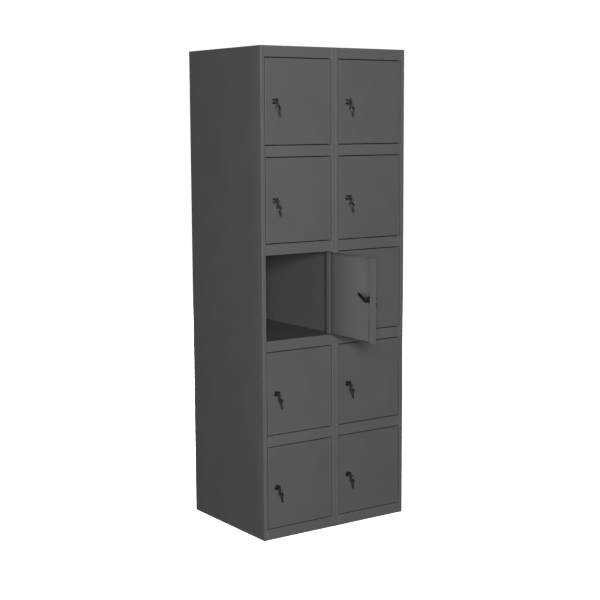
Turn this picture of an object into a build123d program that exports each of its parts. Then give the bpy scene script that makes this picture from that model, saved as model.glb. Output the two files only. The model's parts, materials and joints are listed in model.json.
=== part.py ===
from build123d import *
import os

# A ten-compartment steel locker cabinet: two bays of five doors, side by side. Each door hangs on a
# welded rod at its right edge and has a cylinder cam lock near its left edge, with one key in the lock
# and a spare key hanging from a split ring. Sizes are millimetres. X runs to the right along the front,
# Y back into the depth and Z up. The origin is on the floor at the middle of the base.

# Cabinet
CABINET_HEIGHT = 1800.0
CABINET_WIDTH = 650.0
CABINET_DEPTH = 500.0
ROWS = 5
BAYS = ("left", "right")
SEAM_GAP = 0.2  # between the two bays, where their inner walls stand back to back
SHEET = 0.8  # every folded sheet
BEND_RADIUS = 0.8  # inside radius of every fold
STILE_WIDTH = 16.0
RAIL_HEIGHT = 40.0
RAIL_RETURN = 15.0  # fold that runs back from a rail's lower edge
WELD_FLANGE = 12.0  # narrow folds where two sheets are spot-welded
CORNER_NOTCH = 2.0  # cut out of a shelf's rear corners, where two folds meet
STOP_LIP = 6.0  # lip on the lock side that the door closes against and the cam catches behind
STOP_GAP = 0.5  # between the shut door and the lip
NOTCH_PLAY = 0.4  # around each rail where the stop lip is notched for it

# Doors
DOOR_GAP = 3.0  # all round the door
DOOR_THICKNESS = 18.0
HINGE_FOLD = 20.0  # inward fold behind the hinge edge
LOCK_FOLD = 14.0  # inward fold behind the lock edge
OPEN_DOOR = ("left", 3)  # the door that stands open
OPEN_ANGLE = 88.5  # degrees

# Hinge rod and its bushes
ROD_RADIUS = 2.0
ROD_TO_WALL = 0.5  # between the rod and the door's edge fold, which the weld fills
ROD_SET_BACK = 4.6  # rod axis behind the front face
ROD_REACH = 6.2  # rod beyond each end of the door
ROD_CLEARANCE = 0.05  # radial, in the bushes
BUSH_WALL = 0.6
BUSH_CLEARANCE = 0.05  # radial, between a bush and its hole
BUSH_FLANGE_WIDTH = 1.5
BUSH_TAIL = 1.5  # bush beyond the far side of the sheet
LOWER_FLANGE = 2.8  # the door's weight rests on this flange
UPPER_FLANGE = 1.0

# Cylinder cam lock
LOCK_INSET = 36.0  # lock axis from the door's left edge
HEAD_RADIUS = 10.0
HEAD_THICKNESS = 2.5
HEAD_CHAMFER = 0.7
BARREL_RADIUS = 8.0
BARREL_FLATS = 14.0  # across the two flats that stop the barrel turning
BARREL_CLEARANCE = 0.15
NUT_FLATS = 22.0
NUT_THICKNESS = 4.0
PLUG_RADIUS = 5.5
PLUG_CLEARANCE = 0.08
PLUG_PROUD = 0.2  # plug in front of the head
DRIVE_SQUARE = 7.0
DRIVE_CLEARANCE = 0.05
CAM_THICKNESS = 2.0
CAM_ROOT_RADIUS = 8.0
CAM_TIP_RADIUS = 5.0
CAM_LENGTH = 50.0  # lock axis to the cam's tip
CAM_RISE = 26.0  # degrees above level, when the lock is open
CAM_PLAY = 0.9  # between the cam and what is in front of it
CAM_SCREW_RADIUS = 2.5
CAM_SCREW_FLATS = 8.0
CAM_SCREW_HEAD = 3.0
CAM_SCREW_DEPTH = 3.0  # thread in the plug, ahead of the drive square

# Keys
KEY_THICKNESS = 2.0
KEY_CLEARANCE = 0.1
BLADE_HEIGHT = 7.6
BLADE_LENGTH = 17.0
BLADE_CUTS = (1.2, 0.6, 1.5, 0.9)  # depth of each cut, from the bow to the tip
CUT_HALF_WIDTH = 1.3
SHANK_LENGTH = 5.0
SHANK_HALF = 4.8  # half the width of the shank between the blade and the bow
BOW_WIDTH = 24.0
BOW_LENGTH = 21.0
BOW_CORNER = 8.0
KEY_HOLE_RADIUS = 2.5
KEY_HOLE_INSET = 4.4  # hole centre from the bow's outer end
KEY_GAP = 0.3  # key's shoulder in front of the plug

# Split ring, which carries the spare key
RING_RADIUS = 8.8  # to the middle of the wire
RING_WIRE_RADIUS = 0.7
RING_TILT = 12.0  # degrees that the ring hangs off the vertical, towards the hinge
SPARE_TWIST = 18.0  # degrees that the spare key has turned on the ring, away from the key in the lock

# Worked out from the above
BAY_WIDTH = (CABINET_WIDTH - SEAM_GAP) / 2
OPENING_WIDTH = BAY_WIDTH - 2 * STILE_WIDTH
OPENING_HEIGHT = (CABINET_HEIGHT - (ROWS + 1) * RAIL_HEIGHT) / ROWS
PITCH = OPENING_HEIGHT + RAIL_HEIGHT
JAMB_DEPTH = DOOR_THICKNESS + STOP_GAP
SHELF_REAR = CABINET_DEPTH - 3 * SHEET
SHELF_FRONT = JAMB_DEPTH + 2 * SHEET  # where the shelf widens behind the stiles
DOOR_WIDTH = OPENING_WIDTH - 2 * DOOR_GAP
DOOR_HEIGHT = OPENING_HEIGHT - 2 * DOOR_GAP
ROD_INSET = SHEET + ROD_RADIUS + ROD_TO_WALL  # rod axis from the door's right edge
ROD_X = STILE_WIDTH + OPENING_WIDTH - DOOR_GAP - ROD_INSET  # from the bay's left side
BUSH_BORE = ROD_RADIUS + ROD_CLEARANCE
BUSH_RADIUS = BUSH_BORE + BUSH_WALL
BUSH_HOLE = BUSH_RADIUS + BUSH_CLEARANCE
CAM_FRONT = JAMB_DEPTH + SHEET + CAM_PLAY
BARREL_END = CAM_FRONT - PLUG_CLEARANCE
CAM_BACK = CAM_FRONT + CAM_THICKNESS
PLUG_FRONT = -HEAD_THICKNESS - PLUG_PROUD
SHOULDER = PLUG_FRONT - KEY_GAP
KEYWAY_END = SHOULDER + BLADE_LENGTH + 2 * KEY_CLEARANCE
KEY_REACH = SHANK_LENGTH + BOW_LENGTH  # shoulder to the bow's outer end
RING_PIVOT = SHOULDER - KEY_REACH + KEY_HOLE_INSET  # Y of the key's hole, on the lock's axis
LOCK_HEIGHT = OPENING_HEIGHT / 2


# Folded sheet

def bend_profile(path):
    """A face SHEET thick on the left of a path of right-angled turns, with every fold rounded."""
    steps = [(Vector(*b) - Vector(*a)).normalized() for a, b in zip(path, path[1:])]
    lefts = [Vector(-s.Y, s.X) for s in steps]
    inner = [Vector(*path[0]) + lefts[0] * SHEET]
    inner += [Vector(*p) + (a + b) * SHEET for p, a, b in zip(path[1:], lefts, lefts[1:])]
    inner.append(Vector(*path[-1]) + lefts[-1] * SHEET)
    corners = [Vector(*p) for p in path]
    face = make_face(Polyline(*corners, *reversed(inner), close=True))
    for i, (before, after) in enumerate(zip(steps, steps[1:]), start=1):
        turns_left = before.X * after.Y - before.Y * after.X > 0
        outside, inside = (corners[i], inner[i]) if turns_left else (inner[i], corners[i])
        face = fillet(face.vertices().sort_by_distance(outside)[0], BEND_RADIUS + SHEET)
        face = fillet(face.vertices().sort_by_distance(inside)[0], BEND_RADIUS)
    return face


def block(x, y, z):
    """A box from three (low, high) pairs."""
    size = (x[1] - x[0], y[1] - y[0], z[1] - z[0])
    return Pos(x[0], y[0], z[0]) * Box(*size, align=Align.MIN)


def wall(lock_side, flange_rear):
    """A bay's upright wall with its stile, in the bay's frame. The lock side has the stop lip."""
    path = [(WELD_FLANGE, flange_rear), (0, flange_rear), (0, 0), (STILE_WIDTH, 0), (STILE_WIDTH, JAMB_DEPTH)]
    if lock_side:
        path.append((STILE_WIDTH + STOP_LIP, JAMB_DEPTH))
    height = CABINET_HEIGHT - SHEET
    solid = extrude(bend_profile(path), height)
    for low in (0, height - SHEET):
        flange_y = (SHELF_FRONT, flange_rear - WELD_FLANGE)
        solid += block((SHEET / 2, WELD_FLANGE), flange_y, (low, low + SHEET))
    if lock_side:
        for level in range(ROWS + 1):
            low = level * PITCH - NOTCH_PLAY
            notch_z = (low, low + RAIL_HEIGHT + 2 * NOTCH_PLAY)
            lip_x = (STILE_WIDTH, STILE_WIDTH + 2 * STOP_LIP)
            solid -= block(lip_x, (JAMB_DEPTH - SHEET, JAMB_DEPTH + 2 * SHEET), notch_z)
        return solid
    return Pos(BAY_WIDTH, 0, 0) * mirror(solid, about=Plane.YZ)


def rail_profile(rear, rear_flange):
    """Side view of a shelf: its top surface, the rail down its front and the rail's return fold."""
    path = [(rear, 0), (0, 0), (0, -RAIL_HEIGHT), (RAIL_RETURN, -RAIL_HEIGHT)]
    if rear_flange:
        path.insert(0, (rear, -WELD_FLANGE))
    return Plane.YZ * bend_profile(path)


def bush_hole(z):
    """The hole for a hinge bush, through one sheet at height z."""
    return Pos(ROD_X, ROD_SET_BACK, z) * Cylinder(BUSH_HOLE, 4 * SHEET)


def shelf(lower_hole):
    """A shelf in the bay's frame with its top at Z = 0. It narrows between the stiles at the front."""
    solid = Pos(SHEET, 0, 0) * extrude(rail_profile(SHELF_REAR, True), BAY_WIDTH - 2 * SHEET)
    deep = (-2 * RAIL_HEIGHT, RAIL_HEIGHT)
    for x in ((0, STILE_WIDTH), (BAY_WIDTH - STILE_WIDTH, BAY_WIDTH)):
        solid -= block(x, (-SHELF_FRONT, SHELF_FRONT), deep)
    for x in (SHEET, BAY_WIDTH - 2 * SHEET):
        solid += block((x, x + SHEET), (SHELF_FRONT, SHELF_REAR), (-WELD_FLANGE, -SHEET / 2))
    notch_y = (SHELF_REAR - CORNER_NOTCH, CABINET_DEPTH)
    for x in ((0, SHEET + CORNER_NOTCH), (BAY_WIDTH - SHEET - CORNER_NOTCH, BAY_WIDTH)):
        solid -= block(x, notch_y, deep)
    solid -= bush_hole(-SHEET / 2)
    if lower_hole:
        solid -= bush_hole(SHEET / 2 - RAIL_HEIGHT)
    return solid


def top_panel():
    """The roof sheet over one bay, with the top rail folded down between the stiles."""
    rail = extrude(rail_profile(CABINET_DEPTH, False), OPENING_WIDTH)
    solid = Pos(STILE_WIDTH, 0, 0) * rail
    for x in ((0, STILE_WIDTH), (BAY_WIDTH - STILE_WIDTH, BAY_WIDTH)):
        solid += block(x, (0, CABINET_DEPTH), (-SHEET, 0))
    return solid - bush_hole(SHEET / 2 - RAIL_HEIGHT)


def back_panel():
    """One sheet across both bays, welded to the rear flanges."""
    half = CABINET_WIDTH / 2 - SHEET - BEND_RADIUS
    rear = CABINET_DEPTH / 2 - SHEET
    return block((-half, half), (rear - SHEET, rear), (0, CABINET_HEIGHT - SHEET))


# Places

def bay_place(bay):
    """The bay's frame: its origin is on the floor at the bay's left front corner."""
    left = BAYS.index(bay) * (BAY_WIDTH + SEAM_GAP) - CABINET_WIDTH / 2
    return Pos(left, -CABINET_DEPTH / 2, 0)


def opening_bottom(row):
    """Height of an opening's lower edge. Rows count from the top."""
    return RAIL_HEIGHT + (ROWS - row) * PITCH


def door_place(bay, row):
    """The door's frame: its origin is on the rod's axis, level with the opening's lower edge."""
    angle = OPEN_ANGLE if (bay, row) == OPEN_DOOR else 0
    return bay_place(bay) * Pos(ROD_X, ROD_SET_BACK, opening_bottom(row)) * Rot(0, 0, angle)


def lock_place(bay, row):
    """The lock's frame: its origin is where the lock's axis meets the door's front face."""
    x = ROD_INSET - DOOR_WIDTH + LOCK_INSET
    return door_place(bay, row) * Pos(x, -ROD_SET_BACK, LOCK_HEIGHT)


def key_place(bay, row):
    """The spare key's pivot: the hole in the bow of the key that is in the lock."""
    return lock_place(bay, row) * Pos(0, RING_PIVOT, 0)


# Door

def turned(radius, start, end):
    """A round bar along Y."""
    return Pos(0, (start + end) / 2, 0) * Rot(90, 0, 0) * Cylinder(radius, end - start)


def double_d(radius, flats, start, end):
    """A round bar along Y with two flats, left and right."""
    return turned(radius, start, end) & Box(flats, 4 * end, 4 * radius)


def door_leaf():
    """A tray folded from one sheet, with an inward fold behind each of its upright edges."""
    right = ROD_INSET
    left = right - DOOR_WIDTH
    front = -ROD_SET_BACK
    back = front + DOOR_THICKNESS
    low, high = DOOR_GAP, DOOR_GAP + DOOR_HEIGHT
    outside = block((left, right), (front, back), (low, high))
    outside = fillet(outside.faces().sort_by(Axis.Y)[0].edges(), BEND_RADIUS + SHEET)
    inside = block(
        (left + SHEET, right - SHEET), (front + SHEET, back - SHEET), (low + SHEET, high - SHEET)
    )
    inside = fillet(inside.faces().sort_by(Axis.Y)[0].edges(), BEND_RADIUS)
    mouth_x = (left + LOCK_FOLD, right - HINGE_FOLD)
    mouth = block(mouth_x, (back - 2 * SHEET, back + SHEET), (low + SHEET, high - SHEET))
    rod_holes = Cylinder(ROD_RADIUS, 4 * CABINET_HEIGHT)
    lock_x = left + LOCK_INSET
    barrel = double_d(
        BARREL_RADIUS + BARREL_CLEARANCE, BARREL_FLATS + 2 * BARREL_CLEARANCE, -SHEET, 3 * SHEET
    )
    lock_hole = Pos(lock_x, front, LOCK_HEIGHT) * barrel
    return outside - inside - mouth - rod_holes - lock_hole


def hinge_rod():
    """The rod welded in the fold of the hinge edge. Its ends turn in the bushes."""
    length = DOOR_HEIGHT + 2 * ROD_REACH
    return Pos(0, 0, DOOR_GAP + DOOR_HEIGHT / 2) * Cylinder(ROD_RADIUS, length)


def bush(flange):
    """A flanged bush with its barrel upwards and its flange's seat at Z = 0."""
    barrel_end = SHEET + BUSH_TAIL
    solid = Pos(0, 0, (barrel_end - flange) / 2) * Cylinder(BUSH_RADIUS, barrel_end + flange)
    solid += Pos(0, 0, -flange / 2) * Cylinder(BUSH_RADIUS + BUSH_FLANGE_WIDTH, flange)
    return solid - Cylinder(BUSH_BORE, 4 * (barrel_end + flange))


def hinge_bushes():
    """Both bushes of every door: one in the sheet under it and one in the rail above it."""
    lower, upper = Rot(180, 0, 0) * bush(LOWER_FLANGE), bush(UPPER_FLANGE)
    solids = []
    for bay in BAYS:
        for row in range(1, ROWS + 1):
            place = bay_place(bay) * Pos(ROD_X, ROD_SET_BACK, opening_bottom(row))
            solids += [place * lower, place * Pos(0, 0, OPENING_HEIGHT) * upper]
    return solids


# Lock

def hexagon(flats, start, end):
    """A hexagonal bar along Y."""
    sketch = RegularPolygon(flats / 2, 6, major_radius=False)
    return Pos(0, end, 0) * Rot(90, 0, 0) * extrude(sketch, end - start)


def lock_housing():
    """The fixed part of the lock: a round head in front of the door and a barrel through it."""
    head = turned(HEAD_RADIUS, -HEAD_THICKNESS, 0)
    head = chamfer(head.faces().sort_by(Axis.Y)[0].edges(), HEAD_CHAMFER)
    barrel = double_d(BARREL_RADIUS, BARREL_FLATS, -HEAD_THICKNESS / 2, BARREL_END)
    bore = turned(PLUG_RADIUS + PLUG_CLEARANCE, -2 * HEAD_THICKNESS, 2 * BARREL_END)
    return head + barrel - bore


def lock_nut():
    """The hexagon nut that clamps the barrel to the door from behind."""
    nut = hexagon(NUT_FLATS, SHEET, SHEET + NUT_THICKNESS)
    return nut - turned(BARREL_RADIUS + PLUG_CLEARANCE, -NUT_THICKNESS, 4 * NUT_THICKNESS)


def lock_plug():
    """The part that the key turns, with a square at its rear end that drives the cam."""
    plug = turned(PLUG_RADIUS, PLUG_FRONT, CAM_FRONT)
    plug += Pos(0, (CAM_FRONT + CAM_BACK) / 2, 0) * Box(DRIVE_SQUARE, CAM_THICKNESS, DRIVE_SQUARE)
    slot = KEY_THICKNESS + 2 * KEY_CLEARANCE
    slot_z = BLADE_HEIGHT / 2 + KEY_CLEARANCE
    plug -= block((-slot / 2, slot / 2), (2 * PLUG_FRONT, KEYWAY_END), (-slot_z, slot_z))
    return plug - turned(CAM_SCREW_RADIUS, CAM_FRONT - CAM_SCREW_DEPTH, 2 * CAM_BACK)


def cam():
    """The bar that swings behind the stop lip. It points up towards the hinge when the lock is open."""
    tip = Pos(CAM_LENGTH - CAM_TIP_RADIUS, 0) * Circle(CAM_TIP_RADIUS)
    outline = make_hull([*Circle(CAM_ROOT_RADIUS).edges(), *tip.edges()])
    plate = Pos(0, CAM_BACK, 0) * Rot(90, 0, 0) * extrude(outline, CAM_THICKNESS)
    plate = Rot(0, -CAM_RISE, 0) * plate
    drive = DRIVE_SQUARE + 2 * DRIVE_CLEARANCE
    return plate - Box(drive, 4 * CAM_BACK, drive)


def cam_screw():
    """Holds the cam on the plug."""
    head = hexagon(CAM_SCREW_FLATS, CAM_BACK, CAM_BACK + CAM_SCREW_HEAD)
    return head + turned(CAM_SCREW_RADIUS, CAM_FRONT - CAM_SCREW_DEPTH, CAM_BACK + CAM_SCREW_HEAD / 2)


# Keys

def key_outline():
    """A key seen flat: the blade runs from its shoulder at the origin along -X, the bow along +X."""
    corner = BOW_WIDTH / 2 - BOW_CORNER
    bow_end = KEY_REACH - BOW_CORNER
    rounds = [Pos(bow_end, y) * Circle(BOW_CORNER) for y in (-corner, corner)]
    rounds.append(Pos(SHANK_LENGTH + SHANK_HALF / 2, 0) * Circle(SHANK_HALF))
    bow = make_hull([edge for circle in rounds for edge in circle.edges()])
    outline = bow + Rectangle(SHANK_LENGTH + SHANK_HALF, 2 * SHANK_HALF, align=(Align.MIN, Align.CENTER))
    half = BLADE_HEIGHT / 2
    tip = -BLADE_LENGTH
    blade = Polyline((0, half), (tip + half, half), (tip, 0), (tip + half, -half), (0, -half), close=True)
    outline += make_face(blade)
    spacing = (BLADE_LENGTH - half) / (len(BLADE_CUTS) + 1)
    for i, depth in enumerate(BLADE_CUTS, start=1):
        x = -spacing * i
        sides = ((x - CUT_HALF_WIDTH, -half), (x, depth - half), (x + CUT_HALF_WIDTH, -half))
        outline -= make_face(Polyline(*sides, (x, -2 * half), close=True))
    return outline - Pos(KEY_REACH - KEY_HOLE_INSET, 0) * Circle(KEY_HOLE_RADIUS)


def flat_key():
    """The key as a flat solid in the XY plane, centred on its thickness."""
    return extrude(key_outline(), KEY_THICKNESS / 2, both=True)


def key_in_lock():
    """The key upright in the plug, in the lock's frame."""
    return Pos(0, SHOULDER, 0) * Rot(0, 0, -90) * Rot(90, 0, 0) * flat_key()


def ring():
    """The split ring, threaded through the hole of the key in the lock, in the pivot's frame."""
    wire = Rot(90, 0, 0) * Torus(RING_RADIUS, RING_WIRE_RADIUS)
    return Rot(0, -RING_TILT, 0) * Pos(0, 0, -RING_RADIUS) * wire


def spare_key():
    """The second key, hanging blade down from the bottom of the ring, in the pivot's frame."""
    hanging = Rot(0, 0, SPARE_TWIST) * Rot(0, -90, 0) * Pos(KEY_HOLE_INSET - KEY_REACH, 0, 0) * flat_key()
    return Rot(0, -RING_TILT, 0) * Pos(0, 0, -2 * RING_RADIUS) * hanging


# Files

def write(name, solids):
    """Writes one node, from one solid or several that don't join."""
    shape = solids[0] if len(solids) == 1 else Compound(children=list(solids))
    export_step(shape, os.path.join("parts", name + ".step"))


os.makedirs("parts", exist_ok=True)
left_bay, right_bay = (bay_place(bay) for bay in BAYS)
partition_rear = CABINET_DEPTH - 2 * SHEET
write("side_panel_left", [left_bay * wall(True, CABINET_DEPTH)])
write("side_panel_right", [right_bay * wall(False, CABINET_DEPTH)])
write("partition_left", [left_bay * wall(False, partition_rear)])
write("partition_right", [right_bay * wall(True, partition_rear)])
write("back_panel", [back_panel()])
write("top_panels", [place * Pos(0, 0, CABINET_HEIGHT) * top_panel() for place in (left_bay, right_bay)])
write("bottom_panels", [bay_place(bay) * Pos(0, 0, opening_bottom(ROWS)) * shelf(False) for bay in BAYS])
middle_shelf = shelf(True)
for bay in BAYS:
    levels = [opening_bottom(row) for row in range(1, ROWS)]
    write("shelves_" + bay, [bay_place(bay) * Pos(0, 0, z) * middle_shelf for z in levels])
write("hinge_bushes", hinge_bushes())

door = [door_leaf(), hinge_rod()]
housing = [lock_housing(), lock_nut()]
plug = [lock_plug(), cam(), cam_screw()]
key = [key_in_lock()]
spare = [ring(), spare_key()]
for bay in BAYS:
    for row in range(1, ROWS + 1):
        for name, place, solids in (
            ("door", door_place, door),
            ("lock_housing", lock_place, housing),
            ("lock_plug", lock_place, plug),
            ("key", lock_place, key),
            ("spare_key", key_place, spare),
        ):
            write(f"{name}_{bay}_{row}", [place(bay, row) * solid for solid in solids])
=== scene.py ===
import json
import math

import bmesh
import bpy
from mathutils import Matrix, Vector


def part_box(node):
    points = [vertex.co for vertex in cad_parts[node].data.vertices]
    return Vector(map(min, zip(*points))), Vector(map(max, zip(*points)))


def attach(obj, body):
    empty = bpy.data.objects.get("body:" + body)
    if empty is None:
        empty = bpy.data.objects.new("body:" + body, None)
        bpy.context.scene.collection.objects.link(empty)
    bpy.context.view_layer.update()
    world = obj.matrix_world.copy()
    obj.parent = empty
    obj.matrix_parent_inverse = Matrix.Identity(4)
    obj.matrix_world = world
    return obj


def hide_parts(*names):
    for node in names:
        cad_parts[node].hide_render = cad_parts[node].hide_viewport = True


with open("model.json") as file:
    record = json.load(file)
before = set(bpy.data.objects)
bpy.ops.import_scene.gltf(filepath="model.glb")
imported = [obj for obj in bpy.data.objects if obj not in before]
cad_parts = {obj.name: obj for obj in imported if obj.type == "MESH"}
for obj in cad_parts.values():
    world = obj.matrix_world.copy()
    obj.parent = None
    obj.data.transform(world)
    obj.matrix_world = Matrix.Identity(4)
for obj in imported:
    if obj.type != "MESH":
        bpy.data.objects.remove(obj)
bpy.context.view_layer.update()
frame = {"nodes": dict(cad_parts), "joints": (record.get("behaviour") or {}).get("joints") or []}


# Camera
# A lens of about 79 mm, 1.5 m above the floor, looks across the left side to the front. It is tipped down
# by almost 8 degrees, so that upright edges draw together a little towards the floor.

EYE = Vector((-2.8780, -4.1836, 1.5293))
HEADING = math.radians(34.633)  # from +Y towards +X
TILT = math.radians(-7.679)
ROLL = math.radians(-0.288)
FOCAL_LENGTH = 78.947  # millimetres
SENSOR_WIDTH = 36.0  # millimetres

lens = bpy.data.cameras.new("studio_camera")
lens.sensor_width = SENSOR_WIDTH
lens.lens = FOCAL_LENGTH
camera = bpy.data.objects.new("studio_camera", lens)
pan = Matrix.Rotation(-HEADING, 4, "Z")
aim = pan @ Matrix.Rotation(math.pi / 2 + TILT, 4, "X") @ Matrix.Rotation(ROLL, 4, "Z")
camera.matrix_world = Matrix.Translation(EYE) @ aim
bpy.context.scene.collection.objects.link(camera)
bpy.context.scene.camera = camera


# Studio
# Soft lights stand beside the camera, high on the right, at the right side and behind, and a narrow strip
# shines across the front onto open doors. The background is white with a dim even fill. The pale floor glows
# like it, so that no line shows between them, and throws no light on the object.

FILL = 0.2
BACKGROUND = 1.05
MIDDLE = (0.0, 0.0, 0.9)  # of the cabinet
FLOOR_REACH = 30.0  # from the middle to each side
FLOOR_GREY = 0.8
FLOOR_ROUGHNESS = 0.9
FLOOR_GLOW = 0.9


def shader_node(tree, kind, **settings):
    """Adds a shader node with its attributes set."""
    node = tree.nodes.new(kind)
    for key, value in settings.items():
        setattr(node, key, value)
    return node


bpy.context.scene.view_settings.view_transform = "Standard"
room = bpy.data.worlds.new("studio_room")
room.use_nodes = True
tree = room.node_tree
brightness = shader_node(tree, "ShaderNodeMapRange")
brightness.inputs["To Min"].default_value = FILL
brightness.inputs["To Max"].default_value = BACKGROUND
tree.links.new(shader_node(tree, "ShaderNodeLightPath").outputs["Is Camera Ray"], brightness.inputs["Value"])
tree.links.new(brightness.outputs["Result"], tree.nodes["Background"].inputs["Strength"])
tree.nodes["Background"].inputs["Color"].default_value = (1.0, 1.0, 1.0, 1.0)
bpy.context.scene.world = room


def soft_light(name, place, target, width, height, power, spread=180.0):
    """A flat light aimed from one point at another, with its spread in degrees."""
    light = bpy.data.lights.new(name, "AREA")
    light.shape = "RECTANGLE"
    light.size = width
    light.size_y = height
    light.energy = power
    light.spread = math.radians(spread)
    lamp = bpy.data.objects.new(name, light)
    lamp.location = place
    lamp.rotation_euler = (Vector(target) - Vector(place)).to_track_quat("-Z", "Y").to_euler()
    lamp.visible_camera = False
    bpy.context.scene.collection.objects.link(lamp)


soft_light("key_softbox", (-2.78, -4.6, 1.8), MIDDLE, width=1.2, height=1.2, power=560.0)
soft_light("high_softbox", (3.4, -2.6, 3.4), MIDDLE, width=1.4, height=1.4, power=24.0)
soft_light(
    "strip_softbox", (-1.3, -0.45, 0.9), (0.0, -0.45, 0.9), width=0.3, height=1.8, power=1.54, spread=16.0
)
soft_light("right_softbox", (4.6, 0.9, 2.2), (0.3, 0.0, 0.9), width=1.6, height=1.6, power=380.0)
soft_light("rear_softbox", (0.9, 5.2, 2.2), (0.0, 0.2, 0.9), width=1.6, height=1.6, power=420.0)

studio_floor = bpy.data.materials.new("studio_floor")
studio_floor.use_nodes = True
floor_shader = studio_floor.node_tree.nodes["Principled BSDF"]
floor_shader.inputs["Base Color"].default_value = (FLOOR_GREY, FLOOR_GREY, FLOOR_GREY, 1.0)
floor_shader.inputs["Roughness"].default_value = FLOOR_ROUGHNESS
floor_shader.inputs["Specular IOR Level"].default_value = 0.0
floor_shader.inputs["Emission Color"].default_value = (1.0, 1.0, 1.0, 1.0)
floor_shader.inputs["Emission Strength"].default_value = FLOOR_GLOW
bm = bmesh.new()
bmesh.ops.create_grid(bm, x_segments=1, y_segments=1, size=FLOOR_REACH)
mesh = bpy.data.meshes.new("floor")
bm.to_mesh(mesh)
bm.free()
mesh.materials.append(studio_floor)
floor = bpy.data.objects.new("floor", mesh)
floor.visible_diffuse = False
floor.visible_glossy = False
bpy.context.scene.collection.objects.link(floor)


# Cabinet sheets
# The walls, shelves, floor, roof and back are folded from thin cold-rolled steel, spot-welded together
# and powder-coated dark grey in one go, which leaves a fine even orange peel.

CABINET_SHEETS = (
    "side_panel_left", "side_panel_right", "partition_left", "partition_right", "back_panel",
    "top_panels", "bottom_panels", "shelves_left", "shelves_right",
)
CABINET_GREYS = ((0.047, 0.047, 0.047), (0.051, 0.051, 0.051))  # darkest and lightest
MOTTLE_SCALE = 9.0
PEEL_SCALE = 420.0
PEEL_DEPTH = 0.00006
COAT_SHINE_SCALE = 60.0
COAT_ROUGHNESS = (0.50, 0.54)
COAT_SPECULAR = 0.22
NOISE_REACH = (0.3, 0.7)  # the noise hardly leaves this stretch


def uneven(tree, coords, scale, detail, low=0.0, high=1.0):
    """Noise on the piece's own coordinates, spread from low to high."""
    noise = shader_node(tree, "ShaderNodeTexNoise")
    noise.inputs["Scale"].default_value = scale
    noise.inputs["Detail"].default_value = detail
    tree.links.new(coords, noise.inputs["Vector"])
    spread = shader_node(tree, "ShaderNodeMapRange")
    spread.inputs["From Min"].default_value = NOISE_REACH[0]
    spread.inputs["From Max"].default_value = NOISE_REACH[1]
    spread.inputs["To Min"].default_value = low
    spread.inputs["To Max"].default_value = high
    tree.links.new(noise.outputs["Fac"], spread.inputs["Value"])
    return spread.outputs["Result"]


def tinted(tree, amount, dark, light):
    """A colour that runs from dark to light with the amount."""
    mix = shader_node(tree, "ShaderNodeMix", data_type="RGBA")
    mix.inputs["A"].default_value = (*dark, 1.0)
    mix.inputs["B"].default_value = (*light, 1.0)
    tree.links.new(amount, mix.inputs["Factor"])
    return mix.outputs["Result"]


def bumped(tree, height, depth):
    """Turns a height between 0 and 1 into a bump that many metres deep."""
    bump = shader_node(tree, "ShaderNodeBump")
    bump.inputs["Strength"].default_value = 1.0
    bump.inputs["Distance"].default_value = depth
    tree.links.new(height, bump.inputs["Height"])
    return bump.outputs["Normal"]


def powder_coat(name, dark, light):
    """Baked powder coat: slightly mottled colour, orange peel and uneven gloss."""
    material = bpy.data.materials.new(name)
    material.use_nodes = True
    tree = material.node_tree
    shader = tree.nodes["Principled BSDF"]
    coords = shader_node(tree, "ShaderNodeTexCoord").outputs["Object"]
    colour = tinted(tree, uneven(tree, coords, MOTTLE_SCALE, detail=5.0), dark, light)
    peel = uneven(tree, coords, PEEL_SCALE, detail=2.0)
    low, high = COAT_ROUGHNESS
    shine = uneven(tree, coords, COAT_SHINE_SCALE, detail=3.0, low=low, high=high)
    tree.links.new(colour, shader.inputs["Base Color"])
    tree.links.new(shine, shader.inputs["Roughness"])
    tree.links.new(bumped(tree, peel, PEEL_DEPTH), shader.inputs["Normal"])
    shader.inputs["Specular IOR Level"].default_value = COAT_SPECULAR
    return material


cabinet_paint = powder_coat("cabinet_powder_coat", *CABINET_GREYS)
for name in CABINET_SHEETS:
    sheet_metal = frame["nodes"][name]
    sheet_metal.data.materials.clear()
    sheet_metal.data.materials.append(cabinet_paint)


# Weld marks
# The back is spot-welded to the rear folds of the walls. Each weld leaves a small shallow dome under the
# paint, in a row down each fold. Its lower half is sunk in the sheet.

WELD_RADIUS = 0.0028
WELD_HEIGHT = 0.0003
WELD_ROWS = 13
WELD_INSET = 0.006  # from the side of the cabinet
WELD_END = 0.05  # from the top and from the floor
SHARP_FOLD = math.radians(32.0)


def mesh_from(bm, name, material):
    """Turns a bmesh into a mesh with smooth faces. Edges that fold by more than SHARP_FOLD stay sharp."""
    mesh = bpy.data.meshes.new(name)
    bm.to_mesh(mesh)
    bm.free()
    mesh.polygons.foreach_set("use_smooth", [True] * len(mesh.polygons))
    mesh.set_sharp_from_angle(angle=SHARP_FOLD)
    mesh.materials.append(material)
    return mesh


def fit_piece(mesh, name, body):
    """Adds a finished mesh to the object as a piece that rides on a body."""
    piece = bpy.data.objects.new(name, mesh)
    bpy.context.scene.collection.objects.link(piece)
    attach(piece, body)
    return piece


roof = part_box("top_panels")[1].z
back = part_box("side_panel_left")[1].y
bm = bmesh.new()
for side in (-1, 1):
    for i in range(WELD_ROWS):
        z = WELD_END + (roof - 2 * WELD_END) * i / (WELD_ROWS - 1)
        x = side * (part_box("side_panel_right")[1].x - WELD_INSET)
        dome = bmesh.ops.create_uvsphere(bm, u_segments=16, v_segments=8, radius=1.0)["verts"]
        bmesh.ops.scale(bm, vec=(WELD_RADIUS, WELD_HEIGHT, WELD_RADIUS), verts=dome)
        bmesh.ops.translate(bm, vec=(x, back, z), verts=dome)
bmesh.ops.recalc_face_normals(bm, faces=bm.faces)
fit_piece(mesh_from(bm, "weld_marks_back", cabinet_paint), "weld_marks_back", "cabinet")


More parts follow.
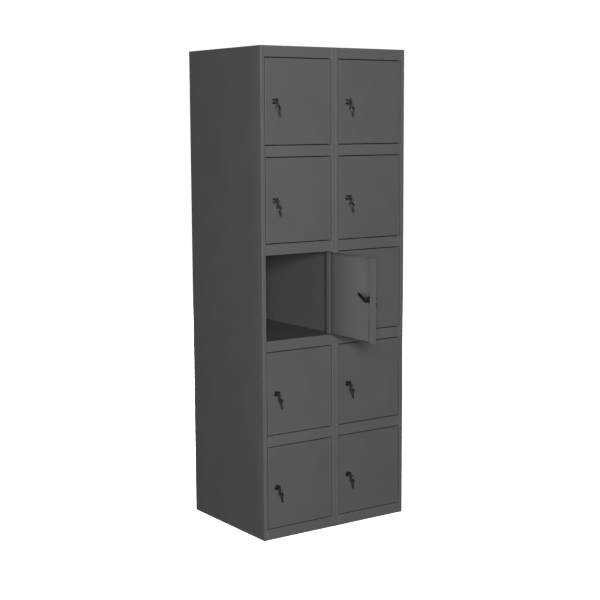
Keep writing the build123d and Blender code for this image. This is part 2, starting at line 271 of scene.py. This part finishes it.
# Hinge bushes
# Small flanged bushes of black nylon are pressed into the sheet above and below each door, and the ends of
# the hinge rod turn in them.

NYLON_BLACKS = ((0.016, 0.016, 0.016), (0.022, 0.022, 0.022))
NYLON_MOTTLE_SCALE = 150.0
NYLON_ROUGHNESS = 0.55
GRAIN_SCALE = 2500.0
GRAIN_DEPTH = 0.00002


def moulded_nylon(name, dark, light):
    """Black nylon with a faint moulded grain."""
    material = bpy.data.materials.new(name)
    material.use_nodes = True
    tree = material.node_tree
    shader = tree.nodes["Principled BSDF"]
    coords = shader_node(tree, "ShaderNodeTexCoord").outputs["Object"]
    colour = tinted(tree, uneven(tree, coords, NYLON_MOTTLE_SCALE, detail=3.0), dark, light)
    grain = uneven(tree, coords, GRAIN_SCALE, detail=2.0)
    tree.links.new(colour, shader.inputs["Base Color"])
    tree.links.new(bumped(tree, grain, GRAIN_DEPTH), shader.inputs["Normal"])
    shader.inputs["Roughness"].default_value = NYLON_ROUGHNESS
    return material


bushes = frame["nodes"]["hinge_bushes"]
bushes.data.materials.clear()
bushes.data.materials.append(moulded_nylon("bush_nylon", *NYLON_BLACKS))


# Doors
# Each door is a tray folded from one sheet, with its hinge rod welded in the fold. The doors are coated
# apart from the cabinet, so their grey is a touch deeper.

DOOR_GREYS = ((0.044, 0.044, 0.044), (0.048, 0.048, 0.048))

door_paint = powder_coat("door_powder_coat", *DOOR_GREYS)
door_tags = sorted(name.removeprefix("door_") for name in frame["nodes"] if name.startswith("door_"))
for tag in door_tags:
    leaf = frame["nodes"]["door_" + tag]
    leaf.data.materials.clear()
    leaf.data.materials.append(door_paint)


# Lock housings
# A turned head with a rounded edge stands in front of each door. Its threaded barrel has two flats, goes
# through the door and is clamped by a hexagon nut. It is die-cast zinc, nickel-plated dark in front and
# blackened behind the door.

MM = 0.001
HEAD_PROFILE = (
    (5.58, -2.2), (5.8, -2.45), (6.3, -2.5), (6.6, -2.35), (8.4, -2.35), (8.7, -2.5),
    (9.3, -2.4), (9.75, -2.1), (9.95, -1.6), (10.0, -1.1), (10.0, 0.0), (5.58, 0.0),
)
THREAD_CREST = 8.0
THREAD_ROOT = 7.5
THREAD_PITCH = 1.25
THREAD_STEPS = 40
BARREL_END = 20.12
BARREL_BORE = 5.58
BARREL_FLAT = 7.0  # from the axis
NUT_PROFILE = ((8.08, 0.8), (12.6, 0.8), (12.6, 3.45), (10.7, 4.8), (8.08, 4.8))
NUT_FLAT = 11.0  # from the axis
ROUND_STEPS = 48
HEXAGON = 6  # sides
NICKEL_GREYS = ((0.042, 0.042, 0.043), (0.056, 0.056, 0.057))
NICKEL_ROUGHNESS = 0.36
ZINC_GREYS = ((0.030, 0.030, 0.031), (0.044, 0.044, 0.045))
ZINC_ROUGHNESS = 0.38
FINISH_MARGIN = 0.1  # from a change of finish to the middle of the nearest face
STAIN_SCALE = 90.0
METAL_SHINE_SCALE = 260.0
METAL_SHINE_REACH = (-0.05, 0.07)  # below and above the roughness
CAST_MARK_SCALE = 1800.0
MARK_DEPTH = 0.00001


def turned(bm, profile, steps=ROUND_STEPS):
    """Spins a closed profile of (radius, depth) in millimetres round the lock's axis, which is Y."""
    corners = [bm.verts.new((r * MM, y * MM, 0)) for r, y in profile]
    edges = [bm.edges.new(ends) for ends in zip(corners, corners[1:] + corners[:1])]
    bmesh.ops.spin(
        bm, geom=[*corners, *edges], cent=(0, 0, 0), axis=(0, 1, 0), angle=2 * math.pi, steps=steps,
        use_merge=True,
    )


def cut_flats(bm, distance, sides):
    """Cuts flats at a distance from the lock's axis, evenly round it, the first of them to the right."""
    for i in range(sides):
        out = Matrix.Rotation(2 * math.pi * i / sides, 3, "Y") @ Vector((1, 0, 0))
        whole = [*bm.verts, *bm.edges, *bm.faces]
        cut = bmesh.ops.bisect_plane(
            bm, geom=whole, plane_co=out * distance * MM, plane_no=out, clear_outer=True
        )
        rims = [e for e in cut["geom_cut"] if isinstance(e, bmesh.types.BMEdge)]
        bmesh.ops.holes_fill(bm, edges=rims, sides=0)


def add_shells(bm, other):
    """Moves the shells of one bmesh into another."""
    mesh = bpy.data.meshes.new("shell")
    other.to_mesh(mesh)
    other.free()
    bm.from_mesh(mesh)
    bpy.data.meshes.remove(mesh)


def machined_metal(name, dark, light, roughness, mark_scale):
    """Plated metal with faint tool marks and uneven shine."""
    material = bpy.data.materials.new(name)
    material.use_nodes = True
    tree = material.node_tree
    shader = tree.nodes["Principled BSDF"]
    coords = shader_node(tree, "ShaderNodeTexCoord").outputs["Object"]
    colour = tinted(tree, uneven(tree, coords, STAIN_SCALE, detail=4.0), dark, light)
    low, high = (roughness + step for step in METAL_SHINE_REACH)
    shine = uneven(tree, coords, METAL_SHINE_SCALE, detail=3.0, low=low, high=high)
    marks = uneven(tree, coords, mark_scale, detail=4.0)
    tree.links.new(colour, shader.inputs["Base Color"])
    tree.links.new(shine, shader.inputs["Roughness"])
    tree.links.new(bumped(tree, marks, MARK_DEPTH), shader.inputs["Normal"])
    shader.inputs["Metallic"].default_value = 1.0
    return material


def lock_frame(tag):
    """Where a door's lock is: Y runs into the door along its axis and Z is up."""
    joint = next(j for j in frame["joints"] if j["name"] == "lock_" + tag)
    inward = -Vector(joint["axis"])
    up = Vector((0, 0, 1))
    turn = Matrix((inward.cross(up), inward, up)).transposed().to_4x4()
    return Matrix.Translation(joint["pos_m"]) @ turn


def fit_to_doors(mesh, piece_end, body_start, node_start, place=Matrix.Identity(4)):
    """Fits a copy of a mesh to every lock, on its body and in place of its node."""
    for tag in door_tags:
        copy = mesh.copy()
        copy.transform(lock_frame(tag) @ place)
        piece = fit_piece(copy, f"lock_{tag}_{piece_end}", body_start + tag)
        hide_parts(node_start + tag)


def rear_finish(mesh, material, depth):
    """Gives the faces that lie behind a depth in millimetres another finish."""
    mesh.materials.append(material)
    for face in mesh.polygons:
        face.material_index = int(face.center.y > depth * MM)


dark_nickel = machined_metal("dark_nickel", *NICKEL_GREYS, NICKEL_ROUGHNESS, CAST_MARK_SCALE)
black_zinc = machined_metal("black_zinc", *ZINC_GREYS, ZINC_ROUGHNESS, CAST_MARK_SCALE)
bm = bmesh.new()
turned(bm, HEAD_PROFILE)
barrel = bmesh.new()
thread = [(BARREL_BORE, 0.0), (THREAD_CREST, 0.0)]
for i in range(1, 2 * int(BARREL_END / THREAD_PITCH)):
    thread.append((THREAD_ROOT if i % 2 else THREAD_CREST, i * THREAD_PITCH / 2))
thread += [(THREAD_ROOT, BARREL_END), (BARREL_BORE, BARREL_END)]
turned(barrel, thread, THREAD_STEPS)
cut_flats(barrel, BARREL_FLAT, sides=2)
add_shells(bm, barrel)
nut = bmesh.new()
turned(nut, NUT_PROFILE)
cut_flats(nut, NUT_FLAT, HEXAGON)
add_shells(bm, nut)
bmesh.ops.recalc_face_normals(bm, faces=bm.faces)
housing_mesh = mesh_from(bm, "lock_housing", dark_nickel)
rear_finish(housing_mesh, black_zinc, FINISH_MARGIN)
fit_to_doors(housing_mesh, "housing", "door_", "lock_housing_")


# Lock plugs
# A round plug with the keyway turns in each housing. A flat steel cam with rounded ends is screwed to its
# rear end by a hexagon screw, and swings behind the stop lip of the opening.

PLUG_WIDTH = 11.0
PLUG_FRONT = -2.7
PLUG_BACK = 20.2
PLUG_CHAMFER = 0.25
KEYWAY = (2.2, 7.8)  # width and height
KEYWAY_END = 15.2
CAM_DISCS = ((0.0, 0.0, 8.0), (45.0, 0.0, 5.0))  # along the cam, across it, radius
CAM_THICKNESS = 2.0
CAM_EDGE = 0.3
CAM_RISE = math.radians(26.0)
SCREW_FLATS = 8.0
SCREW_FACES = (22.2, 25.2)
SCREW_CHAMFER = (0.2, 0.5)  # across the head and along it
CORNER_STEPS = 32
FLAT_WITHIN = math.radians(1.0)
RIM_FOLD = math.radians(60.0)


def loop_of_edges(bm, sides, width, depth):
    """A closed loop round the lock's axis with as many edges as ROUND_STEPS, whatever its sides."""
    known = set(bm.edges)
    bmesh.ops.create_circle(bm, segments=sides, radius=width / 2 * MM)
    ring = [e for e in bm.edges if e not in known]
    if sides < ROUND_STEPS:
        bmesh.ops.subdivide_edges(bm, edges=ring, cuts=ROUND_STEPS // sides - 1)
        ring = [e for e in bm.edges if e not in known]
    corners = list({v for e in ring for v in e.verts})
    bmesh.ops.rotate(bm, verts=corners, cent=(0, 0, 0), matrix=Matrix.Rotation(math.pi / 2, 3, "X"))
    bmesh.ops.translate(bm, verts=corners, vec=(0, depth * MM, 0))
    return ring


def skinned(bm, loops):
    """Joins loops of edges in turn, and closes the shell with a face at each end."""
    for first, second in zip(loops, loops[1:]):
        bmesh.ops.bridge_loops(bm, edges=first + second)
    for end in (loops[0], loops[-1]):
        bmesh.ops.edgeloop_fill(bm, edges=end)


def eased(bm, edges, width, steps=2):
    """Rounds edges over a width in millimetres, or cuts a plain chamfer where there is one step."""
    bmesh.ops.bevel(
        bm, geom=edges, offset=width * MM, offset_type="OFFSET", affect="EDGES", segments=steps, profile=0.5,
        material=-1,
    )


def plate(discs, thickness, edge):
    """A flat plate round several discs, in the XY plane with its middle at Z = 0 and rounded edges."""
    bm = bmesh.new()
    for x, y, radius in discs:
        for z in (-thickness / 2, thickness / 2):
            disc = bmesh.ops.create_circle(bm, segments=CORNER_STEPS, radius=radius * MM)["verts"]
            bmesh.ops.translate(bm, verts=disc, vec=(x * MM, y * MM, z * MM))
    hull = bmesh.ops.convex_hull(bm, input=bm.verts)
    inside = [v for v in hull["geom_interior"] if isinstance(v, bmesh.types.BMVert)]
    bmesh.ops.delete(bm, geom=inside, context="VERTS")
    loose = [e for e in bm.edges if not e.link_faces]
    bmesh.ops.delete(bm, geom=loose, context="EDGES")
    bmesh.ops.dissolve_limit(bm, angle_limit=FLAT_WITHIN, verts=bm.verts, edges=bm.edges)
    eased(bm, [e for e in bm.edges if len(e.link_faces) == 2 and e.calc_face_angle() > RIM_FOLD], edge)
    bmesh.ops.recalc_face_normals(bm, faces=bm.faces)
    return bm


def bar(low, high, edge=0.0):
    """A bar between two corners in millimetres, with its edges rounded if an edge is given."""
    bm = bmesh.new()
    corners = bmesh.ops.create_cube(bm, size=1.0)["verts"]
    bmesh.ops.scale(bm, verts=corners, vec=[(b - a) * MM for a, b in zip(low, high)])
    bmesh.ops.translate(bm, verts=corners, vec=[(a + b) / 2 * MM for a, b in zip(low, high)])
    if edge:
        eased(bm, bm.edges[:], edge)
    return bm


def combined(base, tool, how):
    """Joins one bmesh to another, or cuts it out, and gives the result as a new bmesh."""
    stock = []
    for shape in (base, tool):
        mesh = bpy.data.meshes.new("stock")
        shape.to_mesh(mesh)
        shape.free()
        stock.append(bpy.data.objects.new("stock", mesh))
        bpy.context.scene.collection.objects.link(stock[-1])
    step = stock[0].modifiers.new("step", "BOOLEAN")
    step.object = stock[1]
    step.operation = how
    step.solver = "EXACT"
    bpy.context.view_layer.update()
    result = bmesh.new()
    result.from_object(stock[0], bpy.context.evaluated_depsgraph_get())
    for used in stock:
        mesh = used.data
        bpy.data.objects.remove(used)
        bpy.data.meshes.remove(mesh)
    return result


bm = bmesh.new()
skinned(bm, [
    loop_of_edges(bm, ROUND_STEPS, PLUG_WIDTH - 2 * PLUG_CHAMFER, PLUG_FRONT),
    loop_of_edges(bm, ROUND_STEPS, PLUG_WIDTH, PLUG_FRONT + PLUG_CHAMFER),
    loop_of_edges(bm, ROUND_STEPS, PLUG_WIDTH, PLUG_BACK),
])
across, high = (size / 2 for size in KEYWAY)
bm = combined(bm, bar((-across, 2 * PLUG_FRONT, -high), (across, KEYWAY_END, high)), "DIFFERENCE")
screw = bmesh.new()
screw_corners = SCREW_FLATS / math.cos(math.pi / HEXAGON)
skinned(screw, [
    loop_of_edges(screw, HEXAGON, screw_corners, SCREW_FACES[0]),
    loop_of_edges(screw, HEXAGON, screw_corners, SCREW_FACES[1] - SCREW_CHAMFER[1]),
    loop_of_edges(screw, ROUND_STEPS, SCREW_FLATS - 2 * SCREW_CHAMFER[0], SCREW_FACES[1]),
])
add_shells(bm, screw)
cam = plate(CAM_DISCS, CAM_THICKNESS, CAM_EDGE)
bmesh.ops.rotate(cam, verts=cam.verts, cent=(0, 0, 0), matrix=Matrix.Rotation(math.pi / 2, 3, "X"))
bmesh.ops.rotate(cam, verts=cam.verts, cent=(0, 0, 0), matrix=Matrix.Rotation(-CAM_RISE, 3, "Y"))
bmesh.ops.translate(cam, verts=cam.verts, vec=(0, (PLUG_BACK + CAM_THICKNESS / 2) * MM, 0))
add_shells(bm, cam)
bmesh.ops.recalc_face_normals(bm, faces=bm.faces)
plug_mesh = mesh_from(bm, "lock_plug", dark_nickel)
rear_finish(plug_mesh, black_zinc, PLUG_BACK - FINISH_MARGIN)
fit_to_doors(plug_mesh, "plug", "plug_", "lock_plug_")


# Keys
# Flat keys stamped from plated steel, with a groove milled along each side of the blade, cuts along its
# lower edge, and a sunk panel with a hole in the bow. One is in each lock.

KEY_THICKNESS = 2.0
BOW_DISCS = ((18.0, 4.0, 8.0), (18.0, -4.0, 8.0), (7.4, 0.0, 4.8))  # along the key, across it, radius
BOW_EDGE = 0.35
PANEL_SINK = 0.25
PANEL_RIM = 1.5
PANEL_EDGE = 0.1
BOW_HOLE = (21.6, 2.5)  # along the key, radius
HOLE_SIDES = 32
SHANK = (0.0, 9.8, 9.6)  # from, to, width
SHANK_EDGE = 0.2
BLADE = (-17.0, 1.0, 7.6)  # from, to, width
TIP_CHAMFER = 3.4
CUTS = (1.2, 0.6, 1.5, 0.9)  # depths, from the bow to the tip
CUT_HALF_WIDTH = 1.3
GROOVES = ((0.9, 1), (-1.1, -1))  # across the key, and on which face
GROOVE_WIDTH = 1.2
GROOVE_DEPTH = 0.45
KEY_SHOULDER = -3.0  # on the lock's axis
PLATING_GREYS = ((0.085, 0.085, 0.084), (0.115, 0.115, 0.114))
PLATING_ROUGHNESS = 0.34
STAMP_MARK_SCALE = 1400.0


def prism(x, y, width, height, sides):
    """An upright prism or round bar for cutting, centred on a point of the key."""
    bm = bmesh.new()
    bmesh.ops.create_cone(bm, cap_ends=True, segments=sides, radius1=0.5, radius2=0.5, depth=1.0)
    bmesh.ops.scale(bm, verts=bm.verts, vec=(width * MM, height * MM, 2 * KEY_THICKNESS * MM))
    bmesh.ops.translate(bm, verts=bm.verts, vec=(x * MM, y * MM, 0))
    return bm


half = KEY_THICKNESS / 2
key = plate(BOW_DISCS, KEY_THICKNESS, BOW_EDGE)
shank = bar((SHANK[0], -SHANK[2] / 2, -half), (SHANK[1], SHANK[2] / 2, half), SHANK_EDGE)
key = combined(key, shank, "UNION")
blade = bar((BLADE[0], -BLADE[2] / 2, -half), (BLADE[1], BLADE[2] / 2, half))
tip = [e for e in blade.edges if all(v.co.x < 0 for v in e.verts)]
eased(blade, [e for e in tip if e.verts[0].co.z * e.verts[1].co.z < 0], TIP_CHAMFER, steps=1)
key = combined(key, blade, "UNION")
spacing = (-BLADE[0] - BLADE[2] / 2) / (len(CUTS) + 1)
for i, depth in enumerate(CUTS, start=1):
    notch = prism(-spacing * i, -BLADE[2] / 2, 2 * CUT_HALF_WIDTH, 2 * depth, sides=4)
    key = combined(key, notch, "DIFFERENCE")
for across, side in GROOVES:
    low, high = sorted((side * (half - GROOVE_DEPTH), side * KEY_THICKNESS))
    groove = bar((2 * BLADE[0], across - GROOVE_WIDTH / 2, low), (SHANK[0], across + GROOVE_WIDTH / 2, high))
    key = combined(key, groove, "DIFFERENCE")
panel = tuple((x, y, radius - PANEL_RIM) for x, y, radius in BOW_DISCS)
for side in (-half, half):
    sunk = plate(panel, 2 * PANEL_SINK, PANEL_EDGE)
    bmesh.ops.translate(sunk, verts=sunk.verts, vec=(0, 0, side * MM))
    key = combined(key, sunk, "DIFFERENCE")
hole = prism(BOW_HOLE[0], 0.0, 2 * BOW_HOLE[1], 2 * BOW_HOLE[1], HOLE_SIDES)
key = combined(key, hole, "DIFFERENCE")
bmesh.ops.recalc_face_normals(key, faces=key.faces)
key_plating = machined_metal("key_plating", *PLATING_GREYS, PLATING_ROUGHNESS, STAMP_MARK_SCALE)
key_mesh = mesh_from(key, "key", key_plating)
upright = Matrix.Rotation(-math.pi / 2, 4, "Z") @ Matrix.Rotation(math.pi / 2, 4, "X")
in_keyway = Matrix.Translation((0, KEY_SHOULDER * MM, 0)) @ upright
fit_to_doors(key_mesh, "key", "key_", "key_", in_keyway)


# Spare keys
# A split ring of two turns of spring wire goes through the bow of the key in the lock. The second key of the
# pair hangs from it, a little towards the hinge.

RING_RADIUS = 8.8  # to the middle of the wire
WIRE_RADIUS = 0.34
WIRE_SIDES = 10
TURN_STEP = 0.69  # from one turn to the next
RING_TURNS = 1.94
RING_STEPS = 84
RING_LEAN = math.radians(12.0)
SPARE_TWIST = math.radians(18.0)

bm = bmesh.new()
wire = bmesh.ops.create_circle(bm, cap_ends=True, segments=WIRE_SIDES, radius=WIRE_RADIUS * MM)["verts"]
bmesh.ops.rotate(bm, verts=wire, cent=(0, 0, 0), matrix=Matrix.Rotation(math.pi / 2, 3, "Y"))
advance = TURN_STEP * RING_TURNS * MM
bmesh.ops.translate(bm, verts=wire, vec=(0, -advance / 2, RING_RADIUS * MM))
bmesh.ops.spin(
    bm, geom=bm.faces[:], cent=(0, 0, 0), axis=(0, 1, 0), dvec=(0, advance / RING_STEPS, 0),
    angle=2 * math.pi * RING_TURNS, steps=RING_STEPS,
)
bmesh.ops.translate(bm, verts=bm.verts, vec=(0, 0, -RING_RADIUS * MM))
second = bmesh.new()
second.from_mesh(key_mesh)
drop = Matrix.Translation((0, 0, -2 * RING_RADIUS * MM))
blade_down = Matrix.Rotation(SPARE_TWIST, 4, "Z") @ Matrix.Rotation(-math.pi / 2, 4, "Y")
hanging = drop @ blade_down @ Matrix.Translation((-BOW_HOLE[0] * MM, 0, 0))
bmesh.ops.transform(second, matrix=hanging, verts=second.verts)
add_shells(bm, second)
bmesh.ops.recalc_face_normals(bm, faces=bm.faces)
spare_mesh = mesh_from(bm, "spare_key", key_plating)
pivot = Matrix.Translation((0, (KEY_SHOULDER - BOW_HOLE[0]) * MM, 0)) @ Matrix.Rotation(-RING_LEAN, 4, "Y")
fit_to_doors(spare_mesh, "spare_key", "spare_", "spare_key_", pivot)
